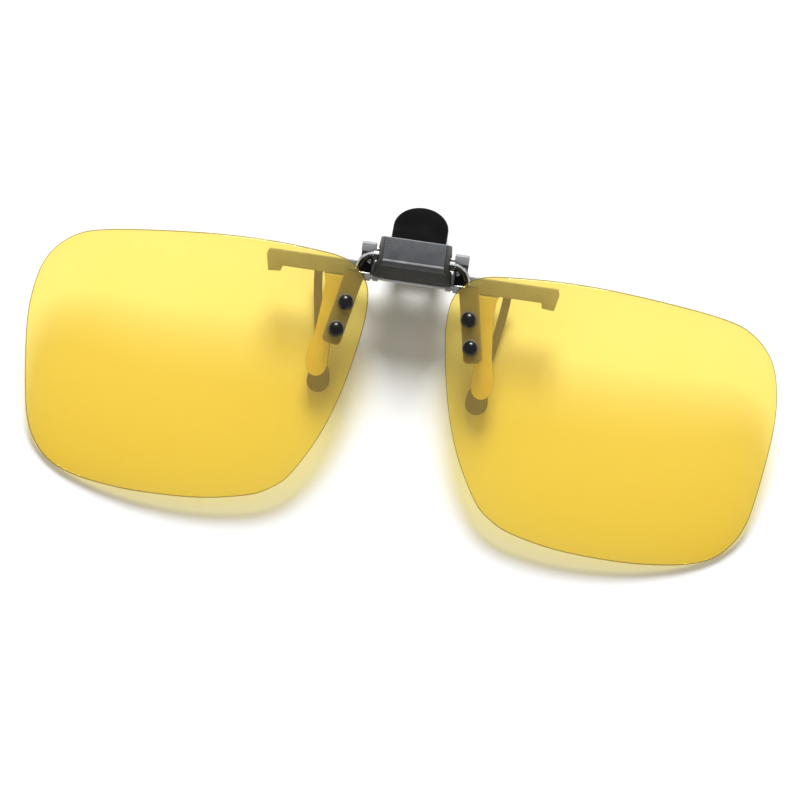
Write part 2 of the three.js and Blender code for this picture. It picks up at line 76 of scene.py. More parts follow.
ARM_HALF_WIDTH = 1.7
ARM_THICKNESS = 0.9
ARM_GAP = 0.3
ARM_BOTTOM = 5.35
ARM_CORNER = 1.0
ARM_ABOVE = 8.2
ROD = Vector((0, 19.75, -1.65))
ROD_RADIUS = 0.42
ROD_BORE = ROD_RADIUS + CLEARANCE
ROD_HALF_LENGTH = 8.4
CURL_RADIUS = 0.62
LUG = {"x": (7.3, 9.6), "y": (19.0, 20.5), "z": (-2.2, -1.0)}
WEB_BACK = -1.8
WEB_FRONT = -1.1
DOME = Vector((7.85, 22.5, WEB_FRONT))
DOME_RADIUS = 0.42
DOME_HEIGHT = 0.3
COLLAR_RIBS = 3
RIB_WIDTH = 0.34

JAW_FRONT = -2.4
JAW_BACK = -3.8
WING_TOP = 22.1
WING_BOTTOM = 19.35
WING_END = 26.1
EAR_X = (7.0, 9.5)
EAR_TOP = 25.7
SLEEVE_BACK = -4.0
SLEEVE_FRONT = -2.1

HOOD_BEND = 23.75
HOOD_FACE = 4.0
HOOD_HALF_FACE = 5.42
HUB_RADIUS = 1.5
HUB_HALF_LENGTH = 4.8
LEG_HALF_WIDTH = 0.76
LEG_HALF_DEPTH = 0.55
TIP_CENTRE = (14.3, -0.6)
TIP_RADIUS = 2.0
TIP_BACK = -6.75
TIP_FRONT = -4.65
TAB_END = Vector((0, 31.5, -14.88))
TAB_HALF_WIDTH = 4.95
TAB_THICKNESS = 1.2

joints = {j["name"]: j for j in frame["record"]["behaviour"]["joints"]}
PLACE = (
    Matrix.Translation(joints["lens_flip"]["pos_m"])
    @ Matrix.Rotation(REST_TILT, 4, "X")
    @ Matrix.Scale(0.001, 4)
    @ Matrix.Translation(-FLIP_AXIS)
)
SIDES = {"right": 1, "left": -1}


# ---- making pieces ----
def add_piece(name, mesh, body, finish, nodes):
    piece = bpy.data.objects.new(name, mesh)
    bpy.context.scene.collection.objects.link(piece)
    mesh.materials.clear()
    mesh.materials.append(finish)
    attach(piece, body)
    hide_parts(*nodes)
    return piece


def finished_mesh(name, bm, sharp_angle=math.radians(40)):
    bmesh.ops.remove_doubles(bm, verts=bm.verts, dist=1e-5)
    bmesh.ops.recalc_face_normals(bm, faces=bm.faces)
    bm.transform(PLACE)
    mesh = bpy.data.meshes.new(name)
    bm.to_mesh(mesh)
    bm.free()
    mesh.validate()
    mesh.shade_smooth()
    mesh.set_sharp_from_angle(angle=sharp_angle)
    return mesh


def repaint(mesh, finish, chosen):
    """Gives the faces that chosen(at, normal) picks, in the clip's axes, another finish."""
    mesh.materials.append(finish)
    to_clip = PLACE.inverted()
    for face in mesh.polygons:
        at = to_clip @ face.center
        normal = (to_clip.to_3x3() @ face.normal).normalized()
        if chosen(at, normal):
            face.material_index = len(mesh.materials) - 1


def mirror_side(bm, side):
    if side < 0:
        bmesh.ops.scale(bm, vec=(-1, 1, 1), verts=bm.verts)
        bmesh.ops.reverse_faces(bm, faces=bm.faces)


def merged(*parts):
    """One bmesh with every closed part joined by a boolean union."""
    objects = []
    for number, part in enumerate(parts):
        bmesh.ops.recalc_face_normals(part, faces=part.faces)
        mesh = bpy.data.meshes.new(f"part_{number}")
        part.to_mesh(mesh)
        part.free()
        objects.append(bpy.data.objects.new(f"part_{number}", mesh))
        bpy.context.scene.collection.objects.link(objects[-1])
    base = objects[0]
    for other in objects[1:]:
        union = base.modifiers.new("union", "BOOLEAN")
        union.operation = "UNION"
        union.solver = "EXACT"
        union.object = other
    return evaluated(base, objects)


def carved(part, *tools):
    """The part with every tool cut out of it."""
    objects = []
    for number, item in enumerate((part,) + tools):
        bmesh.ops.recalc_face_normals(item, faces=item.faces)
        mesh = bpy.data.meshes.new(f"cut_{number}")
        item.to_mesh(mesh)
        item.free()
        objects.append(bpy.data.objects.new(f"cut_{number}", mesh))
        bpy.context.scene.collection.objects.link(objects[-1])
    for tool in objects[1:]:
        cut = objects[0].modifiers.new("cut", "BOOLEAN")
        cut.operation = "DIFFERENCE"
        cut.solver = "EXACT"
        cut.object = tool
    return evaluated(objects[0], objects)


def evaluated(base, objects):
    graph = bpy.context.evaluated_depsgraph_get()
    result = bmesh.new()
    result.from_mesh(base.evaluated_get(graph).to_mesh())
    for item in objects:
        mesh = item.data
        bpy.data.objects.remove(item)
        bpy.data.meshes.remove(mesh)
    return result


def rounded(bm, width, segments=3, angle=math.radians(35)):
    """The closed solid with its sharp edges rounded over."""
    mesh = bpy.data.meshes.new("rounding")
    bm.to_mesh(mesh)
    bm.free()
    item = bpy.data.objects.new("rounding", mesh)
    bpy.context.scene.collection.objects.link(item)
    bevel = item.modifiers.new("round", "BEVEL")
    bevel.width = width
    bevel.segments = segments
    bevel.limit_method = "ANGLE"
    bevel.angle_limit = angle
    bevel.use_clamp_overlap = True
    return evaluated(item, [item])


def slab(outline, low, high):
    bm = bmesh.new()
    face = bm.faces.new([bm.verts.new((x, y, low)) for x, y in outline])
    top = bmesh.ops.extrude_face_region(bm, geom=[face])
    moved = [v for v in top["geom"] if isinstance(v, bmesh.types.BMVert)]
    bmesh.ops.translate(bm, verts=moved, vec=(0, 0, high - low))
    bmesh.ops.recalc_face_normals(bm, faces=bm.faces)
    return bm


def block(x0, x1, y0, y1, z0, z1):
    return slab([(x0, y0), (x1, y0), (x1, y1), (x0, y1)], z0, z1)


def lathe(profile, steps, matrix):
    """A turned solid about its local z axis from (radius, height) points."""
    bm = bmesh.new()
    rings = []
    for radius, height in profile:
        if radius < 1e-6:
            rings.append([bm.verts.new((0, 0, height))])
            continue
        rings.append([
            bm.verts.new((radius * math.cos(2 * math.pi * i / steps),
                          radius * math.sin(2 * math.pi * i / steps), height))
            for i in range(steps)
        ])
    closed = len(rings[0]) > 1
    pairs = list(zip(rings, rings[1:]))
    if closed:
        pairs.append((rings[-1], rings[0]))
    for lower, upper in pairs:
        for i in range(steps):
            j = (i + 1) % steps
            corners = [lower[i % len(lower)], lower[j % len(lower)],
                       upper[j % len(upper)], upper[i % len(upper)]]
            bm.faces.new(list(dict.fromkeys(corners)))
    bmesh.ops.recalc_face_normals(bm, faces=bm.faces)
    bm.transform(matrix)
    return bm


def across(x, axis):
    """Places a turned solid's axis along the clip's x direction, through the point axis."""
    return Matrix.Translation((x, axis.y, axis.z)) @ Matrix.Rotation(math.pi / 2, 4, "Y")


def rod(radius, x0, x1, axis, steps=40, dome=0.0):
    """A round bar along x, on the axis through the given point."""
    middle, half = (x0 + x1) / 2, (x1 - x0) / 2
    end = [(radius * math.cos(a), half - dome + dome * math.sin(a))
           for a in [math.pi / 2 * i / 6 for i in range(7)]]
    if dome:
        profile = [(r, -h) for r, h in reversed(end)] + end
    else:
        profile = [(0, -half), (radius, -half), (radius, half), (0, half)]
    profile[0], profile[-1] = (0, profile[0][1]), (0, profile[-1][1])
    return lathe(profile, steps, across(middle, axis))


def spline(points, count, closed=False):
    """Evenly dense points on a smooth curve through the given ones."""
    points = [Vector(p) for p in points]
    total = len(points)
    result = []
    spans = total if closed else total - 1
    for k in range(count):
        t = k * spans / (count if closed else count - 1)
        i = min(int(t), spans - 1)
        f = t - i
        pick = (lambda n: points[n % total]) if closed else (
            lambda n: points[n] if 0 <= n < total
            else (2 * points[0] - points[1] if n < 0 else 2 * points[-1] - points[-2]))
        a, b, c, d = (pick(i + n) for n in (-1, 0, 1, 2))
        result.append(0.5 * (2 * b + (c - a) * f + (2 * a - 5 * b + 4 * c - d) * f * f
                             + (3 * b - a - 3 * c + d) * f ** 3))
    return result


def even_spacing(points, count):
    """Points at equal steps along a closed line of points."""
    ring = points + [points[0]]
    lengths = [0.0]
    for a, b in zip(ring, ring[1:]):
        lengths.append(lengths[-1] + (b - a).length)
    result = []
    i = 0
    for k in range(count):
        target = lengths[-1] * k / count
        while i < len(lengths) - 2 and lengths[i + 1] < target:
            i += 1
        share = (target - lengths[i]) / max(lengths[i + 1] - lengths[i], 1e-9)
        result.append(ring[i].lerp(ring[i + 1], share))
    return result


def sweep(path, section, side_axis):
    """A closed section carried along a path, with side_axis kept to the section's first axis."""
    bm = bmesh.new()
    rings = []
    last = len(path) - 1
    for k, point in enumerate(path):
        along = (path[min(k + 1, last)] - path[max(k - 1, 0)]).normalized()
        first = (side_axis - along * side_axis.dot(along)).normalized()
        second = along.cross(first)
        rings.append([bm.verts.new(point + first * a + second * b) for a, b in section])
    for lower, upper in zip(rings, rings[1:]):
        for i in range(len(section)):
            j = (i + 1) % len(section)
            bm.faces.new((lower[i], lower[j], upper[j], upper[i]))
    bm.faces.new(rings[0])
    bm.faces.new(rings[-1])
    bmesh.ops.recalc_face_normals(bm, faces=bm.faces)
    return bm


def soft_rectangle(half_width, half_height):
    """A rectangle with rounded corners, as a superellipse."""
    power, count = 5, 32
    points = []
    for i in range(count):
        a = 2 * math.pi * i / count
        c, s = math.cos(a), math.sin(a)
        points.append((half_width * math.copysign(abs(c) ** (2 / power), c),
                       half_height * math.copysign(abs(s) ** (2 / power), s)))
    return points


def circle(radius, count=28):
    return [(radius * math.cos(2 * math.pi * i / count), radius * math.sin(2 * math.pi * i / count))
            for i in range(count)]


def bezier(start, a, b, end, count=10):
    """Points along a cubic curve, without its start."""
    return [tuple((1 - t) ** 3 * Vector(start) + 3 * (1 - t) ** 2 * t * Vector(a)
                  + 3 * (1 - t) * t * t * Vector(b) + t ** 3 * Vector(end))
            for t in (i / count for i in range(1, count + 1))]


def quarter(count):
    """Angles of a quarter turn, without its end."""
    return [math.pi / 2 * i / count for i in range(count)]


# ---- materials ----
def node_material(name):
    finish = bpy.data.materials.new(name)
    finish.use_nodes = True
    tree = finish.node_tree
    tree.nodes.clear()
    return finish, tree, tree.nodes.new("ShaderNodeOutputMaterial")


def noise(tree, scale, detail=4.0, roughness=0.55, stretch=None):
    coordinates = tree.nodes.new("ShaderNodeTexCoord")
    texture = tree.nodes.new("ShaderNodeTexNoise")
    texture.inputs["Scale"].default_value = scale
    texture.inputs["Detail"].default_value = detail
    texture.inputs["Roughness"].default_value = roughness
    if stretch:
        mapping = tree.nodes.new("ShaderNodeMapping")
        mapping.inputs["Scale"].default_value = stretch
        tree.links.new(coordinates.outputs["Object"], mapping.inputs["Vector"])
        tree.links.new(mapping.outputs["Vector"], texture.inputs["Vector"])
    else:
        tree.links.new(coordinates.outputs["Object"], texture.inputs["Vector"])
    return texture.outputs["Fac"]


def ramp(tree, fac, stops):
    node = tree.nodes.new("ShaderNodeValToRGB")
    while len(node.color_ramp.elements) < len(stops):
        node.color_ramp.elements.new(0.5)
    for element, (position, colour) in zip(node.color_ramp.elements, stops):
        element.position = position
        element.color = (*colour, 1) if len(colour) == 3 else colour
    tree.links.new(fac, node.inputs["Fac"])
    return node.outputs["Color"]


def grey(value):
    return (value, value, value)


def bump(tree, height, strength, distance):
    node = tree.nodes.new("ShaderNodeBump")
    node.inputs["Strength"].default_value = strength
    node.inputs["Distance"].default_value = distance
    tree.links.new(height, node.inputs["Height"])
    return node.outputs["Normal"]


def principled(tree, output):
    shader = tree.nodes.new("ShaderNodeBsdfPrincipled")
    tree.links.new(shader.outputs["BSDF"], output.inputs["Surface"])
    return shader


def plastic(name, dark, light, rough, texture_scale, texture_depth, edge_highlight=None, specular=0.5):
    """Moulded plastic: mottled colour, uneven gloss, a fine sparked skin and, when asked, lighter
    convex edges that are a painted highlight.
    """
    finish, tree, output = node_material(name)
    shader = principled(tree, output)
    colour = ramp(tree, noise(tree, texture_scale * 0.12), [(0.3, dark), (0.7, light)])
    if edge_highlight:
        # Painted highlight: convex edges, picked out by pointiness, are lightened towards the given
        # colour.
        edges = tree.nodes.new("ShaderNodeNewGeometry").outputs["Pointiness"]
        mask = ramp(tree, edges, [(0.52, grey(0)), (0.6, grey(1))])
        blend = tree.nodes.new("ShaderNodeMix")
        blend.data_type = "RGBA"
        blend.inputs["B"].default_value = (*edge_highlight, 1)
        tree.links.new(mask, blend.inputs["Factor"])
        tree.links.new(colour, blend.inputs["A"])
        colour = blend.outputs["Result"]
    shader.inputs["Specular IOR Level"].default_value = specular
    tree.links.new(colour, shader.inputs["Base Color"])
    tree.links.new(
        ramp(tree, noise(tree, texture_scale * 0.3), [(0.3, grey(rough[0])), (0.7, grey(rough[1]))]),
        shader.inputs["Roughness"])
    tree.links.new(bump(tree, noise(tree, texture_scale, 2.0), 0.6, texture_depth),
                   shader.inputs["Normal"])
    return finish


def metal(name, colour, rough, stretch):
    finish, tree, output = node_material(name)
    shader = principled(tree, output)
    shader.inputs["Metallic"].default_value = 1.0
    streaks = noise(tree, 900, 3.0, 0.6, stretch)
    darker = tuple(c * 0.75 for c in colour)
    tree.links.new(ramp(tree, streaks, [(0.35, darker), (0.65, colour)]), shader.inputs["Base Color"])
    tree.links.new(ramp(tree, streaks, [(0.3, grey(rough[0])), (0.7, grey(rough[1]))]),
                   shader.inputs["Roughness"])
    tree.links.new(bump(tree, streaks, 0.3, 0.00002), shader.inputs["Normal"])
    return finish


def lens_material():
    """Clear tinted sheet: it passes tinted light, mirrors a little and scatters a faint haze."""
    finish, tree, output = node_material("lens_tint")
    clear = tree.nodes.new("ShaderNodeBsdfTransparent")
    cloud = noise(tree, 60, 2.0)
    tree.links.new(
        ramp(tree, cloud, [(0.2, (1.0, 0.912, 0.445)), (0.8, (1.0, 0.922, 0.475))]),
        clear.inputs["Color"])
    veil = tree.nodes.new("ShaderNodeMixShader")
    veil.inputs["Fac"].default_value = 0.6
    for number, kind in enumerate(("ShaderNodeBsdfDiffuse", "ShaderNodeBsdfTranslucent")):
        scatter = tree.nodes.new(kind)
        scatter.inputs["Color"].default_value = (1.0, 0.81, 0.36, 1)
        tree.links.new(scatter.outputs["BSDF"], veil.inputs[number + 1])
    hazy = tree.nodes.new("ShaderNodeMixShader")
    hazy.inputs["Fac"].default_value = 0.15
    tree.links.new(clear.outputs["BSDF"], hazy.inputs[1])
    tree.links.new(veil.outputs["Shader"], hazy.inputs[2])
    gloss = tree.nodes.new("ShaderNodeBsdfGlossy")
    tree.links.new(ramp(tree, noise(tree, 400, 6.0), [(0.3, grey(0.015)), (0.8, grey(0.06))]),
                   gloss.inputs["Roughness"])
    facing = tree.nodes.new("ShaderNodeLayerWeight")
    facing.inputs["Blend"].default_value = 0.5
    grazing = tree.nodes.new("ShaderNodeMath")
    grazing.operation = "POWER"
    grazing.inputs[1].default_value = 5
    mirror = tree.nodes.new("ShaderNodeMath")
    mirror.operation = "MULTIPLY_ADD"
    mirror.inputs[1].default_value = 0.7
    mirror.inputs[2].default_value = 0.035
    surface = tree.nodes.new("ShaderNodeMixShader")
    tree.links.new(facing.outputs["Facing"], grazing.inputs[0])
    tree.links.new(grazing.outputs["Value"], mirror.inputs[0])
    tree.links.new(mirror.outputs["Value"], surface.inputs["Fac"])
    tree.links.new(hazy.outputs["Shader"], surface.inputs[1])
    tree.links.new(gloss.outputs["BSDF"], surface.inputs[2])
    tree.links.new(surface.outputs["Shader"], output.inputs["Surface"])
    return finish


def lens_edge_material():
    """The polished rim, which gathers the tint and reads as a fine dark line."""
    finish, tree, output = node_material("lens_edge")
    clear = tree.nodes.new("ShaderNodeBsdfTransparent")
    tree.links.new(
        ramp(tree, noise(tree, 300), [(0.3, (0.5, 0.43, 0.2)), (0.7, (0.62, 0.53, 0.26))]),
        clear.inputs["Color"])
    solid = tree.nodes.new("ShaderNodeBsdfPrincipled")
    solid.inputs["Base Color"].default_value = (0.12, 0.09, 0.02, 1)
    solid.inputs["Roughness"].default_value = 0.2
    surface = tree.nodes.new("ShaderNodeMixShader")
    surface.inputs["Fac"].default_value = 0.45
    tree.links.new(clear.outputs["BSDF"], surface.inputs[1])
    tree.links.new(solid.outputs["BSDF"], surface.inputs[2])
    tree.links.new(surface.outputs["Shader"], output.inputs["Surface"])
    return finish


def sleeve_material():
    finish, tree, output = node_material("silicone_sleeve")
    shader = principled(tree, output)
    tree.links.new(
        ramp(tree, noise(tree, 350, 5.0), [(0.3, (0.78, 0.66, 0.3)), (0.7, (0.88, 0.78, 0.42))]),
        shader.inputs["Base Color"])
    shader.inputs["Subsurface Weight"].default_value = 0.35
    shader.inputs["Subsurface Radius"].default_value = (0.002, 0.0012, 0.0004)
    shader.inputs["Subsurface Scale"].default_value = 0.5
    tree.links.new(ramp(tree, noise(tree, 900), [(0.3, grey(0.38)), (0.7, grey(0.5))]),
                   shader.inputs["Roughness"])
    tree.links.new(bump(tree, noise(tree, 2500, 2.0), 0.3, 0.00002), shader.inputs["Normal"])
    return finish


# The jaw and housing plastics take a painted edge highlight: lighter convex edges.
MATTE_JAW = plastic("jaw_matte", (0.155, 0.162, 0.172), (0.235, 0.245, 0.258), (0.4, 0.52),
                    2600, 0.00003, edge_highlight=(0.34, 0.35, 0.36))
TEXTURED = plastic("housing_texture", (0.05, 0.054, 0.06), (0.09, 0.096, 0.104), (0.48, 0.62),
                   4200, 0.00012, edge_highlight=(0.3, 0.31, 0.32))
# A darker plastic laid on as painted shade.
PAINTED_SHADE = plastic("housing_painted_shade", (0.018, 0.018, 0.016), (0.03, 0.03, 0.028), (0.4, 0.5),
                3000, 0.00003, specular=0.3)
# Light grey plastic laid on as painted highlight lines.
PAINTED_HIGHLIGHT = plastic("painted_highlight", (0.4, 0.41, 0.42), (0.66, 0.67, 0.68), (0.3, 0.45), 4200, 0.00006)
TAB_BLACK = plastic("tab_black", (0.001, 0.001, 0.001), (0.003, 0.003, 0.0028), (0.16, 0.24),
                    900, 0.000006, specular=0.12)
RIVET_BLACK = plastic("rivet_black", (0.002, 0.002, 0.003), (0.006, 0.006, 0.008), (0.2, 0.3),
                      1800, 0.00001, specular=0.45)
TIP_RUBBER = plastic("tip_rubber", (0.006, 0.0055, 0.005), (0.014, 0.013, 0.011), (0.6, 0.8),
                     3000, 0.00003, specular=0.3)
WASHER = plastic("washer_clear", (0.1, 0.09, 0.06), (0.17, 0.155, 0.11), (0.3, 0.45), 1500, 0.00001)
STEEL = metal("spring_steel", (0.6, 0.6, 0.61), (0.3, 0.45), (1, 8, 8))
GUNMETAL = metal("gunmetal", (0.1, 0.098, 0.1), (0.14, 0.22), (3, 3, 3))
BRUSHED = metal("brushed_grey", (0.3, 0.29, 0.28), (0.3, 0.42), (2, 9, 2))
BLACKENED = metal("blackened_steel", (0.02, 0.02, 0.022), (0.25, 0.35), (1, 8, 8))
LENS = lens_material()
LENS_EDGE = lens_edge_material()
SLEEVE = sleeve_material()
SLEEVE_EDGE = plastic("sleeve_edge", (0.2, 0.13, 0.035), (0.3, 0.2, 0.06), (0.35, 0.5), 900, 0.00002)


# ---- lenses ----
def lens_front(x, y):
    return (LENS_APEX[1] - (x - LENS_APEX[0]) ** 2 / (2 * LENS_RADII[0])
            - y ** 2 / (2 * LENS_RADII[1]))


def on_lens(x, y):
    """Places something drawn at the origin, with z out of the lens, on the right lens's front."""
    normal = Vector(((x - LENS_APEX[0]) / LENS_RADII[0], y / LENS_RADII[1], 1)).normalized()
    (ux, uy), (lx, ly) = RIVETS["upper"], RIVETS["lower"]
    along = Vector((ux - lx, uy - ly, lens_front(ux, uy) - lens_front(lx, ly)))
    side = along.cross(normal).normalized()
    up = normal.cross(side)
    turn = Matrix((side, up, normal)).transposed().to_4x4()
    return Matrix.Translation((x, y, lens_front(x, y))) @ turn


def lens_solid():
    """The lens from its edge outline, with a rounded rim, as rings about its middle."""
    edge = even_spacing(spline(LENS_OUTLINE, 540, closed=True), 240)
    levels = [(0.0, k / 14, 0.0) for k in range(1, 14)]
    rounding = [(math.pi / 2) * i / 5 for i in range(6)]
    levels += [(RIM_ROUNDING * (1 - math.sin(a)), 1.0, RIM_ROUNDING * (1 - math.cos(a)))
               for a in rounding]
    bm = bmesh.new()

    def ring(inset, share, drop):
        verts = []
        for i, point in enumerate(edge):
            ahead, behind = edge[(i + 1) % len(edge)], edge[i - 1]
            outward = Vector(((ahead - behind).y, -(ahead - behind).x)).normalized()
            flat = LENS_CENTRE + (point - outward * inset - LENS_CENTRE) * share
            verts.append(bm.verts.new((flat.x, flat.y, lens_front(flat.x, flat.y) + drop)))
        return verts

    front = [ring(inset, share, -drop) for inset, share, drop in levels]
    back = [ring(inset, share, drop - LENS_THICKNESS) for inset, share, drop in reversed(levels)]
    rings = front + back
    count = len(edge)
    for lower, upper in zip(rings, rings[1:]):
        for i in range(count):
            j = (i + 1) % count
            bm.faces.new((lower[i], upper[i], upper[j], lower[j]))
    for ring_verts, depth in ((rings[0], 0), (rings[-1], LENS_THICKNESS)):
        x, y = LENS_CENTRE
        centre = bm.verts.new((x, y, lens_front(x, y) - depth))
        for i in range(count):
            bm.faces.new((centre, ring_verts[i], ring_verts[(i + 1) % count]))
    bmesh.ops.recalc_face_normals(bm, faces=bm.faces)
    return bm


def rivet_hole(x, y):
    return lathe([(0, -4), (SHANK_BORE, -4), (SHANK_BORE, 4), (0, 4)], 32, on_lens(x, y))


def rivet_solid(x, y):
    under = WASHER_THICKNESS + 2 * CLEARANCE
    back = -LENS_THICKNESS - ARM_GAP - ARM_THICKNESS - CLEARANCE
    profile = [(0, back - 0.4), (0.6, back - 0.4), (0.78, back - 0.34), (0.93, back - 0.1)]
    profile += [(0.95, back), (SHANK_RADIUS, back), (SHANK_RADIUS, under)]
    profile += [(HEAD_RADIUS - 0.05, under), (HEAD_RADIUS, under + 0.05)]
    for i in range(1, 12):
        a = math.pi / 2 * i / 12
        profile.append((HEAD_RADIUS * math.cos(a), under + 0.05 + (HEAD_HEIGHT - 0.05) * math.sin(a)))
    profile.append((0, under + HEAD_HEIGHT))
    return lathe(profile, 48, on_lens(x, y))


def washer_solid(x, y):
    inner, outer = SHANK_BORE, WASHER_RADIUS
    low, high = CLEARANCE, CLEARANCE + WASHER_THICKNESS
    profile = [(inner, low), (outer - 0.05, low), (outer, low + 0.05), (outer, high - 0.06)]
    profile += [(outer - 0.06, high), (inner, high)]
    return lathe(profile, 48, on_lens(x, y))


def make_lenses():
    for side_name, side in SIDES.items():
        bm = carved(lens_solid(), *(rivet_hole(*place) for place in RIVETS.values()))
        mirror_side(bm, side)
        lens = add_piece(f"fine_lens_{side_name}", finished_mesh("lens", bm), "lens_pair", LENS,
                         [f"lens_{side_name}"])
        repaint(lens.data, LENS_EDGE, lambda at, normal: abs(normal.z) < 0.75)
        for level, place in RIVETS.items():
            bm = rivet_solid(*place)
            mirror_side(bm, side)
            add_piece(f"fine_rivet_{level}_{side_name}", finished_mesh("rivet", bm), "lens_pair",
                      RIVET_BLACK, [f"rivet_{level}_{side_name}"])
            bm = washer_solid(*place)
            mirror_side(bm, side)
            add_piece(f"fine_washer_{level}_{side_name}", finished_mesh("washer", bm), "lens_pair",
                      WASHER, [f"rivet_washer_{level}_{side_name}"])


# ---- lens arms, bridge rod and collars ----
def arm_plate():
    outline = [(ARM_HALF_WIDTH, ARM_ABOVE), (-ARM_HALF_WIDTH, ARM_ABOVE)]
    for corner_x, start in ((ARM_CORNER - ARM_HALF_WIDTH, 1.0), (ARM_HALF_WIDTH - ARM_CORNER, 1.5)):
        for i in range(13):
            a = math.pi * (start + i / 24)
            outline.append((corner_x + ARM_CORNER * math.cos(a),
                            ARM_CORNER - ARM_BOTTOM + ARM_CORNER * math.sin(a)))
    low = -LENS_THICKNESS - ARM_GAP - ARM_THICKNESS
    bm = rounded(slab(outline, low, low + ARM_THICKNESS), 0.18)
    (ux, uy), (lx, ly) = RIVETS["upper"], RIVETS["lower"]
    bm.transform(on_lens((ux + lx) / 2, (uy + ly) / 2))
    return bm


def curl():
    route = [(9.9, 18.6, -1.65), (9.75, 20.3, -1.7), (9.45, 21.9, -1.5), (8.6, 23.3, -0.6),
             (7.4, FLIP_AXIS.y, 0.4), (6.4, FLIP_AXIS.y, FLIP_AXIS.z)]
    return sweep(spline(route, 48), circle(CURL_RADIUS), Vector((0, 0, 1)))


def paint_arm(mesh):
    """The web painted black as shade inside the curl, a steel dome and lug, a painted highlight line
    along the curl, and a brushed plate.
    """
    near, far = LUG["x"]
    low, high = LUG["y"]
    # Painted shade: the web's front inside the curl is made black.
    repaint(mesh, TAB_BLACK, lambda at, normal: (
        normal.z > 0.9 and near < abs(at.x) < far + 0.1 and at.y > high - 0.15
        and WEB_FRONT - 0.2 < at.z < WEB_FRONT + 0.05))
    repaint(mesh, STEEL, lambda at, normal: (
        at.z > WEB_FRONT - 0.05
        and math.hypot(abs(at.x) - DOME.x, at.y - DOME.y) < DOME_RADIUS + 0.03))
    repaint(mesh, STEEL, lambda at, normal: (
        near < abs(at.x) < far + 0.05 and low - 0.1 < at.y < high and -1.4 < at.z < -0.9))
    # Painted highlight: a light strip along the outer front of the curl.
    repaint(mesh, PAINTED_HIGHLIGHT, lambda at, normal: (
        at.y > 20.8 and abs(at.x) > 6.6 and at.z > -1.6 and normal.z > 0.3
        and 0.2 < normal.y + math.copysign(0.6, at.x) * normal.x < 0.75))
    repaint(mesh, BRUSHED, lambda at, normal: at.y < low - 0.1)


def make_lens_arms():
    for side_name, side in SIDES.items():
        boss = rounded(rod(1.0, 6.0, 7.3, FLIP_AXIS), 0.15)
        lug = rounded(block(*LUG["x"], *LUG["y"], *LUG["z"]), 0.2)
        # The web is a sheet that fills the curl's inside; its front is painted black as shade.
        web = slab([(7.35, 20.4), (10.0, 20.4), (9.6, 21.9), (8.7, 23.2), (7.7, 23.9), (7.35, 23.9)],
                   WEB_BACK, WEB_FRONT)
        dome = lathe([(0, -DOME_HEIGHT), (DOME_RADIUS, -DOME_HEIGHT)]
                     + [(DOME_RADIUS * math.cos(a), DOME_HEIGHT * math.sin(a)) for a in quarter(8)]
                     + [(0, DOME_HEIGHT)], 32, Matrix.Translation(DOME))
        body = merged(arm_plate(), curl(), boss, lug, web, dome)
        body = carved(body, rod(PIN_BORE, 5, 7.0, FLIP_AXIS),
                      rod(ROD_BORE, 6, ROD_HALF_LENGTH + CLEARANCE, ROD),
                      *(rivet_hole(*place) for place in RIVETS.values()))
        mirror_side(body, side)
        arm = add_piece(f"fine_arm_{side_name}", finished_mesh("arm", body), "lens_pair", GUNMETAL,
                        [f"lens_arm_{side_name}"])
        paint_arm(arm.data)
        collar = lathe(collar_profile(), 40, across(0, ROD))
        mirror_side(collar, side)
        add_piece(f"fine_collar_{side_name}", finished_mesh("collar", collar), "lens_pair", STEEL,
                  [f"rod_collar_{side_name}"])
    bridge = rod(ROD_RADIUS, -ROD_HALF_LENGTH, ROD_HALF_LENGTH, ROD, dome=0.25)
    add_piece("fine_bridge_rod", finished_mesh("bridge", bridge), "lens_pair", STEEL,
              ["bridge_rod"])


def collar_profile():
    """Half round ribs side by side along the rod."""
    start = 5.96
    profile = [(ROD_BORE, start - 0.01)]
    for rib in range(COLLAR_RIBS):
        for i in range(7):
            a = math.pi * i / 6
            profile.append((0.61 + 0.11 * math.sin(a), start + RIB_WIDTH * rib + RIB_WIDTH * i / 6))
    profile.append((ROD_BORE, 6.99))
    return profile


# ---- front jaw and its sleeves ----
def make_front_jaw():
    core_outline = [(12.2, 19.6), (14.2, 19.6), (14.5, 12), (15.0, 8), (15.5, 4.6), (15.2, 2.6),
                    (14.6, 2.2), (14.0, 2.6), (13.7, 5.2), (13.2, 9), (12.6, 13)]
    wing_outline = [(5.5, WING_BOTTOM), (23.1, WING_BOTTOM), (23.3, 18.4), (25.5, 18.2),
                    (WING_END, WING_TOP - 1.0), (WING_END - 0.3, WING_TOP), (5.5, WING_TOP)]
    parts = [rounded(block(-6.1, 6.1, 20.6, 26.9, JAW_BACK, JAW_FRONT), 0.15)]
    for side in SIDES.values():
        half = [
            rounded(slab(wing_outline, JAW_BACK, JAW_FRONT), 0.12),
            slab(core_outline, -3.55, -2.65),
            rounded(block(*EAR_X, 21.6, EAR_TOP, JAW_BACK, JAW_FRONT), 0.1),
            rounded(block(*EAR_X, 24.2, EAR_TOP, JAW_FRONT - 0.2, -0.9), 0.1),
            block(3.4, 4.5, 22.95, 25.3, JAW_FRONT - 0.3, 1.7),
            rounded(block(5.1, 6.1, 21.4, 24.4, -6.5, JAW_BACK + 0.3), 0.15),
            rounded(block(23.7, 25.5, 18.7, 21.7, JAW_BACK - 0.35, JAW_BACK + 0.3), 0.06),
        ]
        for part in half:
            mirror_side(part, side)
        parts += half
    body = carved(merged(*parts),
                  rod(PIN_BORE, -8, 8, FLIP_AXIS),
                  rod(PIN_BORE, -8, 8, JAW_PIN),
                  rod(1.75, -5.1, 5.1, JAW_PIN, 64))
    add_piece("fine_front_jaw", finished_mesh("front_jaw", body), "clip", MATTE_JAW,
              ["front_jaw"])


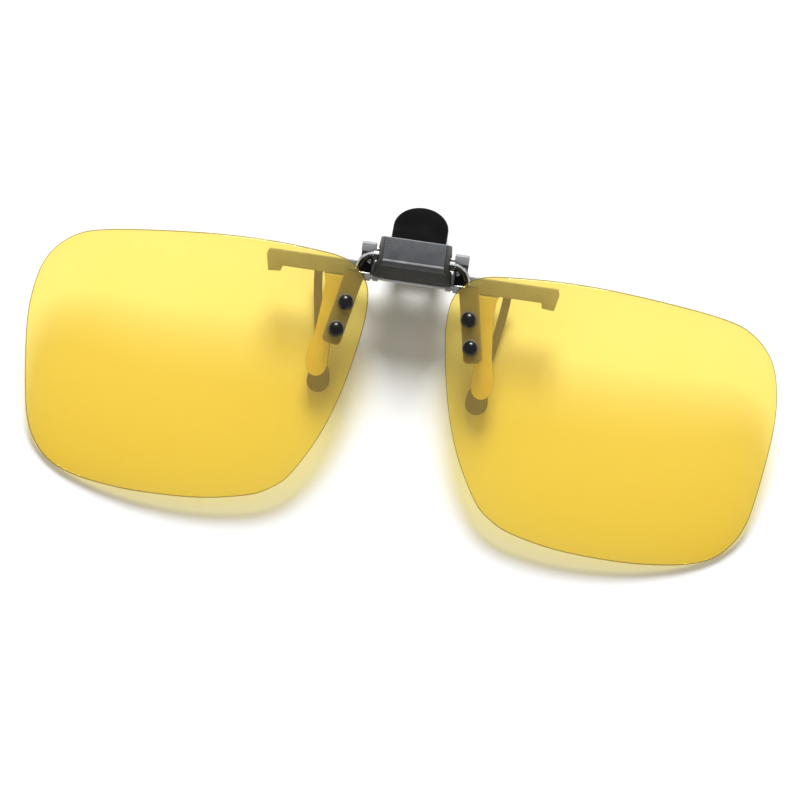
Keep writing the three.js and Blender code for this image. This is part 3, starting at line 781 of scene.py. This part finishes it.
def make_sleeves():
    outline = [(11.6, 19.2), (15.6, 19.2)]
    for curve in (((15.6, 19.2), (15.2, 18.6), (15.15, 17.5), (15.25, 15.0)),
                  ((15.25, 15.0), (15.4, 12.5), (15.65, 10.5), (15.9, 8.2)),
                  ((15.9, 8.2), (16.3, 6.4), (16.8, 5.2), (16.77, 3.2)),
                  ((16.77, 3.2), (16.6, 1.4), (15.7, 0.72), (14.85, 0.72)),
                  ((14.85, 0.72), (13.9, 0.72), (12.95, 1.4), (12.88, 3.2)),
                  ((12.88, 3.2), (12.85, 5.2), (12.95, 6.4), (12.9, 8.2)),
                  ((12.9, 8.2), (12.4, 10.5), (11.7, 13.5), (11.6, 19.2))):
        outline += bezier(*curve)
    outline.pop()
    socket = [(12.05, 20), (14.35, 20), (14.65, 12), (15.2, 8), (15.7, 4.5), (15.3, 2.4),
              (14.6, 1.95), (13.85, 2.4), (13.5, 5.2), (13.0, 9), (12.45, 13)]
    for side_name, side in SIDES.items():
        body = carved(rounded(slab(outline, SLEEVE_BACK, SLEEVE_FRONT), 0.4, 5),
                      slab(socket, SLEEVE_BACK + 0.3, SLEEVE_FRONT - 0.4))
        mirror_side(body, side)
        sleeve = add_piece(f"fine_sleeve_{side_name}", finished_mesh("sleeve", body), "clip", SLEEVE,
                           [f"front_sleeve_{side_name}"])
        repaint(sleeve.data, SLEEVE_EDGE, lambda at, normal: abs(normal.z) < 0.8)


# ---- hinge housing ----
def hood(inset):
    """The drafted hood, or its hollow when inset."""
    half_face = HOOD_HALF_FACE - inset
    half_base, half_base_top = 7.1 - 2.2 * inset, 6.3 - 2.2 * inset
    face, base = HOOD_FACE - 1.6 * inset, 0.4 - 0.4 * inset
    profile = [
        (half_base, 20.12 + 2 * inset, base), (half_face - 0.05, 22.6 + inset, face - 0.8),
        (half_face, HOOD_BEND + inset, face), (half_face, 27.9 - inset, face),
        (half_base_top, 27.4 - inset, base),
    ]
    bm = bmesh.new()
    right = [bm.verts.new((x, y, z)) for x, y, z in profile]
    left = [bm.verts.new((-x, y, z)) for x, y, z in profile]
    for i in range(1, len(profile) - 1):
        bm.faces.new((right[0], right[i], right[i + 1]))
        bm.faces.new((left[0], left[i + 1], left[i]))
    for i in range(len(profile)):
        j = (i + 1) % len(profile)
        bm.faces.new((right[i], right[j], left[j], left[i]))
    bmesh.ops.recalc_face_normals(bm, faces=bm.faces)
    return bm


def make_housing():
    outside = rounded(hood(0), 0.2, 4, math.radians(25))
    skirt = rounded(block(-5.9, 5.9, 20.7, 27.0, JAW_FRONT + CLEARANCE, 0.6), 0.12)
    body = carved(merged(outside, skirt), hood(0.5),
                  block(-5.25, 5.25, 21.5, 26.5, JAW_FRONT - 1, 0.6),
                  rod(PIN_BORE, -8, 8, FLIP_AXIS),
                  rod(1.3, 5.55, 8, FLIP_AXIS, 64),
                  rod(1.3, -8, -5.55, FLIP_AXIS, 64))
    housing = add_piece("fine_housing", finished_mesh("housing", body, math.radians(30)), "clip",
                        TEXTURED, ["housing_cover"])
    # Painted shade: the side facets and the lower slope, which face away from the light, get a darker
    # finish.
    repaint(housing.data, PAINTED_SHADE, lambda at, normal: (
        abs(normal.x) > 0.5 or (normal.y < -0.62 and at.y < 22.9)))
    # Painted highlight: a light line along the edge between the housing face and its bevel.
    repaint(housing.data, PAINTED_HIGHLIGHT, lambda at, normal: (
        abs(at.x) < 5.4 and abs(at.y - HOOD_BEND) < 0.2 and at.z > HOOD_FACE - 0.5))


# ---- rear jaw and its tips ----
def tab_solid():
    reach = TAB_END - JAW_PIN
    outline = [(-TAB_HALF_WIDTH, 1.0), (TAB_HALF_WIDTH, 1.0)]
    for i in range(49):
        a = math.pi * i / 48
        outline.append((TAB_HALF_WIDTH * math.cos(a),
                        reach.length - TAB_HALF_WIDTH * (1 - math.sin(a))))
    bm = rounded(slab(outline, -TAB_THICKNESS / 2, TAB_THICKNESS / 2), 0.35, 4)
    bm.transform(Matrix.Translation(JAW_PIN) @ Matrix.Rotation(math.atan2(reach.z, reach.y), 4, "X"))
    return bm


def rear_leg():
    route = [(17.0, 20.6, -7.6), (17.0, 18.0, -9.25), (16.7, 14.8, -9.8), (16.2, 11.5, -9.7),
             (15.5, 7.5, -8.85), (14.75, 3.8, -7.1), (14.4, 1.7, -5.85), (14.33, 0.9, -5.7),
             (14.33, -0.5, -5.7)]
    return sweep(spline(route, 90), soft_rectangle(LEG_HALF_WIDTH, LEG_HALF_DEPTH), Vector((1, 0, 0)))


def make_rear_jaw():
    legs = [rear_leg(), rear_leg()]
    mirror_side(legs[1], -1)
    body = merged(rounded(rod(HUB_RADIUS, -HUB_HALF_LENGTH, HUB_HALF_LENGTH, JAW_PIN, 56), 0.15),
                  tab_solid(),
                  rounded(block(-HUB_HALF_LENGTH, HUB_HALF_LENGTH, 19.9, 22.4, -8.0, -5.9), 0.2),
                  rounded(block(-17.8, 17.8, 19.7, 21.2, -8.2, -6.75), 0.3), *legs)
    body = carved(body, rod(PIN_BORE, -9, 9, JAW_PIN),
                  block(-2.6, 2.6, 21.3, 25.2, -8.3, -2))
    add_piece("fine_rear_jaw", finished_mesh("rear_jaw", body), "jaw", TAB_BLACK, ["rear_jaw"])


def make_rear_tips():
    outline = bezier((13.1, 2.3), (12.5, 1.4), (12.3, 0.4), (12.3, -0.6))
    x, y = TIP_CENTRE
    outline += [(x + TIP_RADIUS * math.cos(math.pi + math.pi * i / 24),
                 y + TIP_RADIUS * math.sin(math.pi + math.pi * i / 24)) for i in range(1, 25)]
    outline += bezier((16.3, -0.6), (16.3, 0.4), (16.1, 1.4), (15.5, 2.3))
    outline.append((13.1, 2.3))
    for side_name, side in SIDES.items():
        body = carved(rounded(slab(outline, TIP_BACK, TIP_FRONT), 0.45, 5), rear_leg())
        mirror_side(body, side)
        add_piece(f"fine_tip_{side_name}", finished_mesh("tip", body), "jaw", TIP_RUBBER,
                  [f"rear_tip_{side_name}"])


# ---- hinge metal ----
def coil(radius, half, turns, axis, wire, start, ends=()):
    points = []
    count = int(turns * 28)
    for i in range(count + 1):
        a = start + 2 * math.pi * turns * i / count
        points.append(Vector((-half + 2 * half * i / count, axis.y + radius * math.cos(a),
                              axis.z + radius * math.sin(a))))
    if ends:
        points = [Vector(ends[0])] + points + [Vector(ends[1])]
    return sweep(points, circle(wire, 12), Vector((1, 0, 0)))


def make_hinge_metal():
    pin = rod(PIN_RADIUS, -6.6, 6.6, JAW_PIN, dome=0.25)
    add_piece("fine_jaw_pin", finished_mesh("pin", pin), "clip", BLACKENED, ["jaw_pin"])
    axle = rod(PIN_RADIUS, -6.9, 6.9, FLIP_AXIS, dome=0.2)
    add_piece("fine_flip_axle", finished_mesh("axle", axle), "clip", BLACKENED,
              ["flip_axle"])
    spring = coil(0.95, 2.9, 7, FLIP_AXIS, 0.2, 0)
    add_piece("fine_flip_spring", finished_mesh("spring", spring), "clip", STEEL,
              ["flip_spring"])
    ends = ((-1.7, JAW_PIN.y - 1.3, JAW_PIN.z + 0.7), (1.7, JAW_PIN.y - 1.0, JAW_PIN.z - 1.2))
    torsion = coil(1.0, 1.7, 5, JAW_PIN, 0.22, -math.pi, ends)
    add_piece("fine_jaw_spring", finished_mesh("torsion", torsion), "clip", STEEL,
              ["jaw_spring"])
    for side_name, side in SIDES.items():
        profile = [(0.62, 4.7), (0.97, 4.7), (1.0, 4.73), (1.0, 4.83), (0.97, 4.86), (0.62, 4.86)]
        washer = lathe(profile, 40, across(0, FLIP_AXIS))
        mirror_side(washer, side)
        add_piece(f"fine_friction_washer_{side_name}", finished_mesh("friction", washer), "clip",
                  STEEL, [f"friction_washer_{side_name}"])


# ---- the set: floor, light and camera ----
def make_floor():
    bm = bmesh.new()
    bmesh.ops.create_grid(bm, x_segments=1, y_segments=1, size=1.5)
    mesh = bpy.data.meshes.new("floor")
    bm.to_mesh(mesh)
    bm.free()
    floor = bpy.data.objects.new("floor", mesh)
    bpy.context.scene.collection.objects.link(floor)
    finish, tree, output = node_material("floor_white")
    shader = principled(tree, output)
    tree.links.new(ramp(tree, noise(tree, 4.0), [(0.3, grey(0.93)), (0.7, grey(0.95))]),
                   shader.inputs["Base Color"])
    shader.inputs["Roughness"].default_value = 0.9
    mesh.materials.append(finish)


def make_light(name, towards, distance, size, power):
    """A round soft light that shines on the origin from the given direction."""
    light = bpy.data.lights.new(name, "AREA")
    light.shape = "DISK"
    light.size = size
    light.energy = power
    item = bpy.data.objects.new(name, light)
    item.location = Vector(towards).normalized() * distance
    item.rotation_euler = Vector(towards).to_track_quat("Z", "Y").to_euler()
    bpy.context.scene.collection.objects.link(item)


def make_world(strength):
    world = bpy.data.worlds.new("studio")
    world.use_nodes = True
    world.node_tree.nodes["Background"].inputs["Color"].default_value = (1, 1, 1, 1)
    world.node_tree.nodes["Background"].inputs["Strength"].default_value = strength
    bpy.context.scene.world = world


def make_camera():
    """Looks down on the lens fronts from half a metre, turned as a hand-held shot is."""
    distance = 500
    yaw, pitch, roll = (math.radians(a) for a in (-1.81, 9.65, -8.01))
    shift = Vector((-0.75, 1.11, -distance))
    turn = Matrix.Rotation(roll, 3, "Z") @ Matrix.Rotation(pitch, 3, "X") @ Matrix.Rotation(yaw, 3, "Y")
    eye = -(turn.transposed() @ shift)
    camera = bpy.data.cameras.new("camera")
    camera.sensor_width = 36
    camera.lens = 127.35
    item = bpy.data.objects.new("camera", camera)
    placed = PLACE @ Matrix.Translation(eye) @ turn.transposed().to_4x4()
    item.matrix_world = Matrix.LocRotScale(placed.to_translation(), placed.to_quaternion(), None)
    bpy.context.scene.collection.objects.link(item)
    bpy.context.scene.camera = item


make_camera()
make_floor()
make_world(0.36)
make_light("key", (-0.08, 1.24, 1), 1.5, 0.6, 33)
bpy.context.scene.view_settings.view_transform = "Standard"

make_lenses()
make_lens_arms()
make_front_jaw()
make_sleeves()
make_housing()
make_rear_jaw()
make_rear_tips()
make_hinge_metal()
